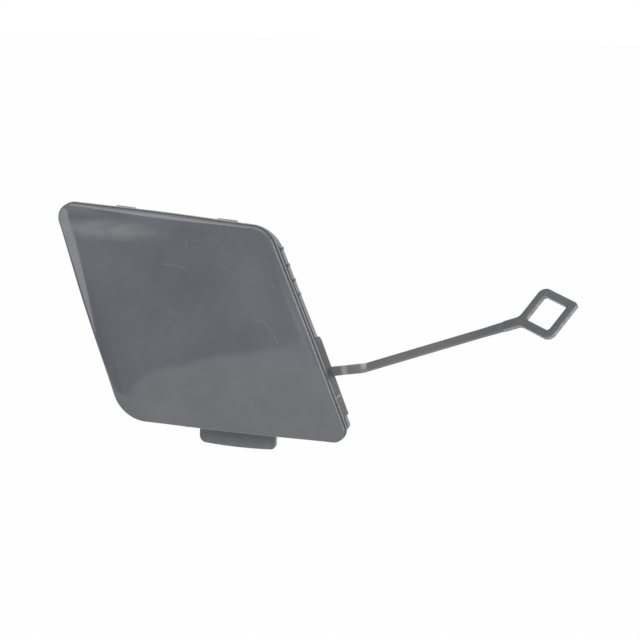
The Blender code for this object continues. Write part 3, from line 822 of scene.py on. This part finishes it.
def make_ribs():
    tree = make_rib_tree()
    upper_left, lower_left, lower_right, upper_right = inset_corners(face_corners(), SKIRT_INSET + BITE)
    lines = []
    for index in range(UPRIGHT_RIBS):
        share = (index + 1) / (UPRIGHT_RIBS + 1)
        lines.append(("upright", lower_left.lerp(lower_right, share), upper_left.lerp(upper_right, share)))
    for index in range(LEVEL_RIBS):
        share = (index + 1) / (LEVEL_RIBS + 1)
        lines.append(("level", lower_left.lerp(upper_left, share), lower_right.lerp(upper_right, share)))
    for number, (kind, start, end) in enumerate(lines):
        sizes = {
            "Start": (start.x, 0.0, start.y), "End": (end.x, 0.0, end.y), "Thickness": RIB_THICKNESS,
            "Crest Depth": RIB_END, "Bite": BITE, "Plastic": behind_plastic,
        }
        rib = grow(f"{kind}_rib_{number + 1}", tree, sizes)
        round_edges(rib, RIB_ROUNDING, 2)
        finish_piece(rib)


make_ribs()


# ------------------------------------------------------------------------------
# Snap hooks on the top of the skirt, which hold the cover behind the bumper's skin. Each is moulded on the wall
# between two slots: a steep catch in front, a crest, and a long ramp that leads it in.

HOOK_HEIGHT = 0.0010
HOOK_CATCH = 0.0032
HOOK_CREST = 0.0066
HOOK_FOOT = 0.0086
HOOK_ROUNDING = 0.00012


def make_row_tree():
    """A row of like ribs along a wall. The section lies across the wall, and is drawn out along it."""
    sizes = {"Length": "Float", "Count": "Int", "First": "Float", "Gap": "Float", "Gap Growth": "Float"}
    net, given = new_shape("row_along_wall", sizes | {"Plastic": "Material"})
    section, length = given.out("Geometry"), given.out("Length")
    values = {"Mesh": section, "Offset": net.join(0.0, 0.0, length), "Offset Scale": 1.0, "Individual": False}
    drawn = net.add("GeometryNodeExtrudeMesh", None, values)
    start = net.add("GeometryNodeFlipFaces", None, {"Mesh": section})
    both = net.add("GeometryNodeJoinGeometry", None, {"Geometry": [drawn, start]})
    closed = net.add("GeometryNodeMergeByDistance", None, {"Geometry": both, "Distance": MERGE_DISTANCE})
    row = net.add("GeometryNodeMeshLine", {"mode": "OFFSET"}, {"Count": given.out("Count")})
    number = net.add("GeometryNodeInputIndex")
    grown = number * (number - 1.0) * given.out("Gap Growth") / 2.0
    at = given.out("First") + number * given.out("Gap") + grown - length / 2.0
    placed = net.add("GeometryNodeSetPosition", None, {"Geometry": row, "Position": net.join(0.0, 0.0, at)})
    ribs = net.add("GeometryNodeInstanceOnPoints", None, {"Points": placed, "Instance": closed})
    finish_shape(net, ribs)
    return net


def make_row(name, side, section, rounding, sizes):
    """Grows a row on a wall of the skirt from the section of one rib, and rounds its edges."""
    mesh = bpy.data.meshes.new(name)
    mesh.from_pydata([(point.x, point.y, 0.0) for point in section], [], [range(len(section))])
    row = grow(name, row_tree, {"Gap Growth": 0.0, "Plastic": behind_plastic} | sizes, mesh)
    round_edges(row, rounding)
    row.data.transform(wall_place(side, "crosswise"))
    finish_piece(row)


row_tree = make_row_tree()
hook_corners = flat_points(
    (-BITE, HOOK_CATCH),
    (HOOK_HEIGHT, HOOK_CATCH + HOOK_HEIGHT / 3),
    (HOOK_HEIGHT, HOOK_CREST),
    (0.0, HOOK_FOOT),
    (-BITE, HOOK_FOOT),
)
hook_section = rounded(hook_corners, [0.0, HOOK_HEIGHT / 4, HOOK_HEIGHT, 0.0, 0.0])
hook_sizes = {"Length": HOOK_LENGTH, "Count": 2, "First": HOOK_SHIFT - HOOK_SPACING / 2, "Gap": HOOK_SPACING}
make_row("snap_hooks", TOP, hook_section, HOOK_ROUNDING, hook_sizes)


# ------------------------------------------------------------------------------
# The tongue, a flat lug that goes down behind the lower edge of the bumper's opening, and the gussets on its back
# that hold it square to the skirt. Both are moulded with the skirt.

TONGUE_WIDTH = 0.0262
TONGUE_SHIFT = -0.0010
TONGUE_REACH = 0.0069
TONGUE_BOW = 0.0005
TONGUE_GAP = 0.0030
TONGUE_THICKNESS = 0.0024
TONGUE_LEFT_RADIUS = 0.0023
TONGUE_RIGHT_RADIUS = 0.0014
TONGUE_ROUNDING = 0.0003
TONGUE_STEPS = 16
GUSSETS = 3
GUSSET_THICKNESS = 0.0012
GUSSET_LEG = 0.0044
GUSSET_ROUNDING = 0.00012


def make_tongue():
    """The bowed lower edge is drawn in steps. The ones next to its two corners are left out, as their rounding takes
    that room."""
    half = TONGUE_WIDTH / 2
    tip = SKIRT_INSET + TONGUE_REACH
    edge = flat_points((-half, -BITE), (half, -BITE))
    for step in (0, *range(2, TONGUE_STEPS - 1), TONGUE_STEPS):
        share = 1 - 2 * step / TONGUE_STEPS
        edge.append(Vector((half * share, tip - TONGUE_BOW * share ** 2)))
    radii = [0.0, 0.0, TONGUE_RIGHT_RADIUS] + [0.0] * (TONGUE_STEPS - 3) + [TONGUE_LEFT_RADIUS]
    shape = [point + Vector((TONGUE_SHIFT, 0.0)) for point in rounded(edge, radii)]
    place = wall_place(BOTTOM, "rearward")
    tongue = plate("tongue", [shape], TONGUE_GAP, tongue_back, place, TONGUE_ROUNDING)
    finish_piece(tongue, behind_plastic)


tongue_back = TONGUE_GAP + TONGUE_THICKNESS
make_tongue()
gusset_section = flat_points(
    (-BITE, tongue_back - BITE),
    (GUSSET_LEG, tongue_back - BITE),
    (GUSSET_LEG, tongue_back),
    (BITE, tongue_back + GUSSET_LEG),
    (-BITE, tongue_back + GUSSET_LEG),
)
gusset_gap = TONGUE_WIDTH / GUSSETS
gusset_sizes = {
    "Length": GUSSET_THICKNESS, "Count": GUSSETS, "First": TONGUE_SHIFT - gusset_gap * (GUSSETS - 1) / 2,
    "Gap": gusset_gap,
}
make_row("gussets", BOTTOM, gusset_section, GUSSET_ROUNDING, gusset_sizes)


# ------------------------------------------------------------------------------
# Centring ribs, low bars on the outside of the skirt that keep it in the middle of the opening. They are moulded
# with it: four on the right above the strap's tab, closer together as they go down, and two on the left.

CENTRING_WIDTH = 0.0009
CENTRING_HEIGHT = 0.0003
CENTRING_START = 0.0064
CENTRING_ROUNDING = 0.0002


def centring_section(side):
    return rectangle(-BITE, SIDE_BOWS[side] + CENTRING_HEIGHT, CENTRING_START, SKIRT_DEPTH - 2 * RIM_ROUNDING)


right_ribs = {"Length": CENTRING_WIDTH, "Count": 4, "First": 0.0133, "Gap": 0.0048, "Gap Growth": 0.0005}
left_ribs = {"Length": CENTRING_WIDTH, "Count": 2, "First": -0.0180, "Gap": 0.0360}
make_row("centring_ribs_right", RIGHT, centring_section(RIGHT), CENTRING_ROUNDING, right_ribs)
make_row("centring_ribs_left", LEFT, centring_section(LEFT), CENTRING_ROUNDING, left_ribs)


# ------------------------------------------------------------------------------
# The tab, a pad of the same plastic on the skirt's right wall that carries the strap. Its face has the eroded grain
# of the tool, and a short rib stands across it under the strap.

TAB_TOP = -0.0021
TAB_LENGTH = 0.0277
TAB_START = 0.0012
TAB_DEPTH_TOP = 0.0109
TAB_DEPTH_BOTTOM = 0.0096
TAB_THICKNESS = 0.0014
TAB_PROUD = 0.0003
TAB_RADIUS = 0.0020
TAB_ROUNDING = 0.00025
TAB_RIB_LENGTH = 0.0045
TAB_RIB_WIDTH = 0.0007
TAB_RIB_AT = 0.74
TAB_RIB_ROUNDING = 0.0001
TAB_PLASTIC = (0.047, 0.050, 0.057)
# painted light: the rib's pale tone stands for the light that catches it
TAB_RIB_LIT_TONE = (0.26, 0.26, 0.27)
SCUFFS_END = (-0.020, -0.013)


def make_tab():
    bottom = TAB_TOP - TAB_LENGTH
    corners = flat_points(
        (TAB_START, bottom), (TAB_DEPTH_BOTTOM, bottom), (TAB_DEPTH_TOP, TAB_TOP), (TAB_START, TAB_TOP),
    )
    shape = rounded(corners, [TAB_RADIUS / 2, TAB_RADIUS / 2, TAB_RADIUS, TAB_RADIUS / 2])
    proud = SIDE_BOWS[RIGHT] + TAB_PROUD
    wall = wall_place(RIGHT, "outward")
    tab = plate("strap_tab", [shape], proud - TAB_THICKNESS, proud, wall, TAB_ROUNDING)
    at = TAB_TOP - TAB_LENGTH * TAB_RIB_AT
    middle = (TAB_START + TAB_DEPTH_BOTTOM) / 2
    half, width = TAB_RIB_LENGTH / 2, TAB_RIB_WIDTH / 2
    line = rounded(rectangle(middle - half, middle + half, at - width, at + width), [TAB_RIB_WIDTH * 0.4] * 4)
    rib = plate("tab_rib", [line], proud - TAB_THICKNESS / 2, proud + TAB_PROUD, wall, TAB_RIB_ROUNDING)
    return tab, rib


def tab_scuffs(place):
    """The lower half of the tab is scuffed."""
    return place.parts()[2].ease(*SCUFFS_END, 1.0, 0.0)


tab_plastic = make_back_plastic("eroded_grey_plastic", TAB_PLASTIC, 0.50, 4 * FINE_GRAIN, scuffs=tab_scuffs)
# The rib's plastic is painted pale as a painted highlight on the rib.
lit_rib_plastic = make_back_plastic("tab_rib_painted_light_plastic", TAB_RIB_LIT_TONE, 0.40, 2 * FINE_GRAIN)
for piece, plastic in zip(make_tab(), (tab_plastic, lit_rib_plastic)):
    finish_piece(piece, plastic)


# ------------------------------------------------------------------------------
# The strap that keeps the cover on the car when it is taken off. It is moulded with the tab, flat and slender, and
# thinned in two places that bend as hinges, where the plastic has gone pale. In the second it turns up and twists.

STRAP_WIDTH = 0.0031
STRAP_THICKNESS = 0.0012
STRAP_AT = 0.447
STRAP_ROOT = 0.0036
STRAP_LINK = 0.00395
HINGE_LENGTH = 0.0027
HINGE_THICKNESS = 0.0007
STRAP_ARM = 0.04982
ROOT_RISE = 9.4
ARM_RISE = 19.9
ARM_FORWARD = 1.3
ARM_TWIST = 46.0
STRAP_ROUNDING = 0.00028
STRAP_STATIONS = 260
STRAP_AROUND = 64
NECK_MARGIN = 0.0001
NECK_THICKNESS = 0.00146
NECK_SWELL = (0.84, 0.955)   # shares of the strap's length where its swelling begins and ends
# painted light: how much paler the strap's sides are made
SIDE_PAINTED_LIGHT = 0.22
STRAP_TONES = ((0.090, 0.092, 0.094), (0.110, 0.111, 0.113))
# the strap is paler towards the tab: partly wear, partly painted light that lifts the cover's shadow on its root
STRAP_WORN_AND_LIT = (0.144, 0.143, 0.141)
LINK_WORN_AND_LIT = (0.182, 0.181, 0.180)
HINGE_WHITENED_AND_SIDE_LIT = (0.44, 0.435, 0.438)


def direction(rise, forward):
    """Unit vector to the right that rises and comes forward by so many degrees."""
    rise, forward = math.radians(rise), math.radians(forward)
    flat = math.cos(forward)
    return Vector((math.cos(rise) * flat, -math.sin(forward), math.sin(rise) * flat))


def make_strap_tree():
    """A tube of stations drawn out along the strap's line, thinned in the hinges and twisted in the second."""
    sizes = {
        "Root": "Vector", "Direction": "Vector", "Arm Direction": "Vector", "Start": "Float", "Length": "Float",
        "Width": "Float", "Thickness": "Float", "Rounding": "Float", "First Hinge": "Float", "Second Hinge": "Float",
        "Hinge Length": "Float", "Hinge Thickness": "Float", "Neck Width": "Float", "Neck Thickness": "Float",
        "Twist": "Float", "Plastic": "Material",
    }
    net, given = new_shape("hinged_strap", sizes)
    corners = {"Width": given.out("Width"), "Height": given.out("Thickness")}
    sharp = net.add("GeometryNodeCurvePrimitiveQuadrilateral", None, corners)
    fillet = {"Curve": sharp, "Radius": given.out("Rounding"), "Count": 5}
    soft = net.add("GeometryNodeFilletCurve", {"mode": "POLY"}, fillet)
    stations = {"Vertices": STRAP_AROUND, "Side Segments": STRAP_STATIONS, "Radius": 1.0, "Depth": 1.0}
    tube = net.add("GeometryNodeMeshCylinder", {"fill_type": "NGON"}, stations)
    x, y, z = net.add("GeometryNodeInputPosition").parts()
    turn = net.add("ShaderNodeMath", {"operation": "ARCTAN2"}, {0: y, 1: x}) / math.tau + 0.5
    sampled = net.add("GeometryNodeSampleCurve", {"mode": "FACTOR"}, {"Curves": soft, "Factor": turn})
    wide, deep, _ = sampled.out("Position").parts()
    run = given.out("Start") + (z + 0.5) * (given.out("Length") - given.out("Start"))
    hinge = given.out("Hinge Length")
    bent = (run - given.out("Second Hinge")) / hinge
    share = bent.at_least(0.0).at_most(1.0)
    turned = share * share * (3.0 - 2.0 * share)
    gone = hinge * (share ** 3.0 - share ** 4.0 / 2.0 + (bent - 1.0).at_least(0.0))
    before, after = given.out("Direction"), given.out("Arm Direction")
    centre = given.out("Root") + before * run + (after - before) * gone
    along = net.work("NORMALIZE", before + (after - before) * turned)
    upright = net.work("NORMALIZE", net.work("CROSS_PRODUCT", along, tuple(REARWARDS)))
    front = net.work("CROSS_PRODUCT", along, upright)
    twist = given.out("Twist") * turned
    across = upright * net.work("COSINE", twist) - front * net.work("SINE", twist)
    face = net.work("CROSS_PRODUCT", along, across)
    thin = 0.0
    for name in ("First Hinge", "Second Hinge"):
        within = ((run - given.out(name)) / hinge).at_least(0.0).at_most(1.0)
        thin = net.work("SINE", within * math.pi) + thin
    swell = (run / given.out("Length")).ease(*NECK_SWELL)
    thinned = 1.0 - thin * (1.0 - given.out("Hinge Thickness") / given.out("Thickness"))
    depth = deep * (thinned + swell * (given.out("Neck Thickness") / given.out("Thickness") - 1.0))
    spread = wide * (1.0 + swell * (given.out("Neck Width") / given.out("Width") - 1.0))
    side = net.work("ABSOLUTE", wide) / given.out("Width")
    # paleness: the hinges whitened by bending, and the strap's sides made paler as painted light
    pale = thin.at_least(side.ease(0.46, 0.49, 0.0, SIDE_PAINTED_LIGHT))
    marked = tube
    for name, value in (("near", 1.0 - run / given.out("Length")), ("pale", pale)):
        stored = {"Geometry": marked, "Name": name, "Value": value}
        marked = net.add("GeometryNodeStoreNamedAttribute", {"data_type": "FLOAT", "domain": "POINT"}, stored)
    place = centre + across * spread + face * depth
    finish_shape(net, net.add("GeometryNodeSetPosition", None, {"Geometry": marked, "Position": place}))
    return net


def make_strap_plastic():
    """The strap's plastic: finely grained, paler towards the tab partly from wear and partly as painted light against
    the cover's shadow, palest where the hinges have been bent, and paler on its sides as painted light.
    """
    material, net, place = new_plastic("strap_grey_plastic")
    pale = net.add("ShaderNodeAttribute", {"attribute_name": "pale"}).out("Fac")
    cloud = net.noise(place, 120.0, 4.0, 0.6)
    crazed = net.noise(place, 900.0, 2.0).ease(0.35, 0.75)
    near = net.add("ShaderNodeAttribute", {"attribute_name": "near"}).out("Fac")
    colour = net.tint(cloud.ease(0.3, 0.7), *STRAP_TONES)
    # paler towards the tab and over the link: partly wear, partly painted light
    colour = net.tint(near.ease(0.0, 0.5) * 0.75, colour, STRAP_WORN_AND_LIT)
    colour = net.tint(near.ease(0.76, 0.84) * 0.8, colour, LINK_WORN_AND_LIT)
    # towards the pale tone where the hinges whitened and, as painted light, on the strap's sides
    colour = net.tint(pale.ease(0.0, 0.7) * (0.30 + crazed * 0.4), colour, HINGE_WHITENED_AND_SIDE_LIT)
    grain = net.noise(place, 2600.0, 2.0) + net.noise(place, 500.0, 2.0) * 1.2
    finish_plastic(net, colour, 0.36 + cloud * 0.16, grain, 0.0000045)
    return material


def make_strap():
    """Grows the strap from the tab and gives the middle of its far end."""
    place = wall_place(RIGHT, "crosswise")
    out, along = place.col[0].to_3d(), place.col[2].to_3d()
    root = place.translation + along * (TAB_TOP - TAB_LENGTH * STRAP_AT) + out * SIDE_BOWS[RIGHT]
    root.y = TAB_DEPTH_TOP + (TAB_DEPTH_BOTTOM - TAB_DEPTH_TOP) * STRAP_AT - STRAP_THICKNESS
    second = STRAP_ROOT + HINGE_LENGTH + STRAP_LINK
    sizes = {
        "Root": tuple(root), "Direction": tuple(direction(ROOT_RISE, 0.0)),
        "Arm Direction": tuple(direction(ARM_RISE, ARM_FORWARD)), "Start": -BITE,
        "Length": second + HINGE_LENGTH + STRAP_ARM, "Width": STRAP_WIDTH, "Thickness": STRAP_THICKNESS,
        "Rounding": STRAP_ROUNDING, "First Hinge": STRAP_ROOT, "Second Hinge": second, "Hinge Length": HINGE_LENGTH,
        "Hinge Thickness": HINGE_THICKNESS, "Neck Width": STRAP_WIDTH + NECK_MARGIN,
        "Neck Thickness": NECK_THICKNESS, "Twist": math.radians(ARM_TWIST), "Plastic": strap_plastic,
    }
    strap = grow("strap", make_strap_tree(), sizes)
    finish_piece(strap)
    end = root + direction(ROOT_RISE, 0.0) * (second + HINGE_LENGTH / 2)
    return end + direction(ARM_RISE, ARM_FORWARD) * (HINGE_LENGTH / 2 + STRAP_ARM)


strap_plastic = make_strap_plastic()
strap_end = make_strap()


# ------------------------------------------------------------------------------
# The loop at the strap's end, a square ring stood on its corner that goes over a peg in the bumper. It is moulded
# with the strap, whose end runs into its neck between two fillets.

LOOP_HOLE = 0.0100
LOOP_BAND = 0.00255
LOOP_THICKNESS = 0.0015
LOOP_SIDE_RADIUS = 0.0029
LOOP_TIP_RADIUS = 0.0009
LOOP_INNER_RADIUS = 0.0010
LOOP_FILLET = 0.0030
LOOP_ROUNDING = 0.0003
# painted light: how much paler the loop's side faces are made
LOOP_SIDE_PAINTED_LIGHT = 0.55
NECK_LENGTH = 0.0040


def make_loop():
    along = direction(ARM_RISE, ARM_FORWARD)
    upright = along.cross(REARWARDS).normalized()
    twist = math.radians(ARM_TWIST)
    across = upright * math.cos(twist) - along.cross(upright) * math.sin(twist)
    inner = LOOP_HOLE / math.sqrt(2)
    outer = (LOOP_HOLE / 2 + LOOP_BAND) * math.sqrt(2)
    neck = STRAP_WIDTH / 2 + NECK_MARGIN
    fork = outer - neck
    start = -outer - NECK_LENGTH
    edge = flat_points(
        (start, -neck), (-fork, -neck), (0.0, -outer), (outer, 0.0), (0.0, outer), (-fork, neck), (start, neck),
    )
    radii = [0.0, LOOP_FILLET, LOOP_SIDE_RADIUS, LOOP_TIP_RADIUS, LOOP_SIDE_RADIUS, LOOP_FILLET, 0.0]
    hole = flat_points((inner, 0.0), (0.0, inner), (-inner, 0.0), (0.0, -inner))
    outlines = [rounded(edge, radii, 16), rounded(hole, [LOOP_INNER_RADIUS] * 4, 10)]
    middle = strap_end + along * (outer + NECK_LENGTH / 2)
    place = Matrix.Translation(middle) @ Matrix((along, across, along.cross(across))).transposed().to_4x4()
    half = LOOP_THICKNESS / 2
    loop = plate("loop", outlines, -half, half, place, LOOP_ROUNDING)
    # the loop's side faces are made paler as painted light
    pale = loop.data.attributes.new("pale", "FLOAT", "FACE")
    for face in loop.data.polygons:
        on_side = abs(face.normal.dot(place.col[2].to_3d())) < 0.6
        pale.data[face.index].value = LOOP_SIDE_PAINTED_LIGHT if on_side else 0.0
    finish_piece(loop, strap_plastic)


make_loop()


# ------------------------------------------------------------------------------
# The gate mark, a stub on the lower edge beside the tongue where the moulding was cut from its runner.

GATE_WIDTH = 0.0020
GATE_HEIGHT = 0.0003
GATE_AT = -0.0171
GATE_DEPTH = 0.0010
GATE_ROUNDING = 0.00006


def make_gate_mark():
    half = GATE_WIDTH / 2
    edge = SKIRT_INSET + SIDE_BOWS[BOTTOM]
    box = rectangle(GATE_AT - half, GATE_AT + half, edge - BITE, edge + GATE_HEIGHT)
    shape = rounded(box, [0.0, 0.0, GATE_HEIGHT, GATE_HEIGHT])
    low, high = -FLANGE_THICKNESS, GATE_DEPTH - FLANGE_THICKNESS
    mark = plate("gate_mark", [shape], low, high, wall_place(BOTTOM, "rearward"), GATE_ROUNDING)
    finish_piece(mark, behind_plastic)


make_gate_mark()
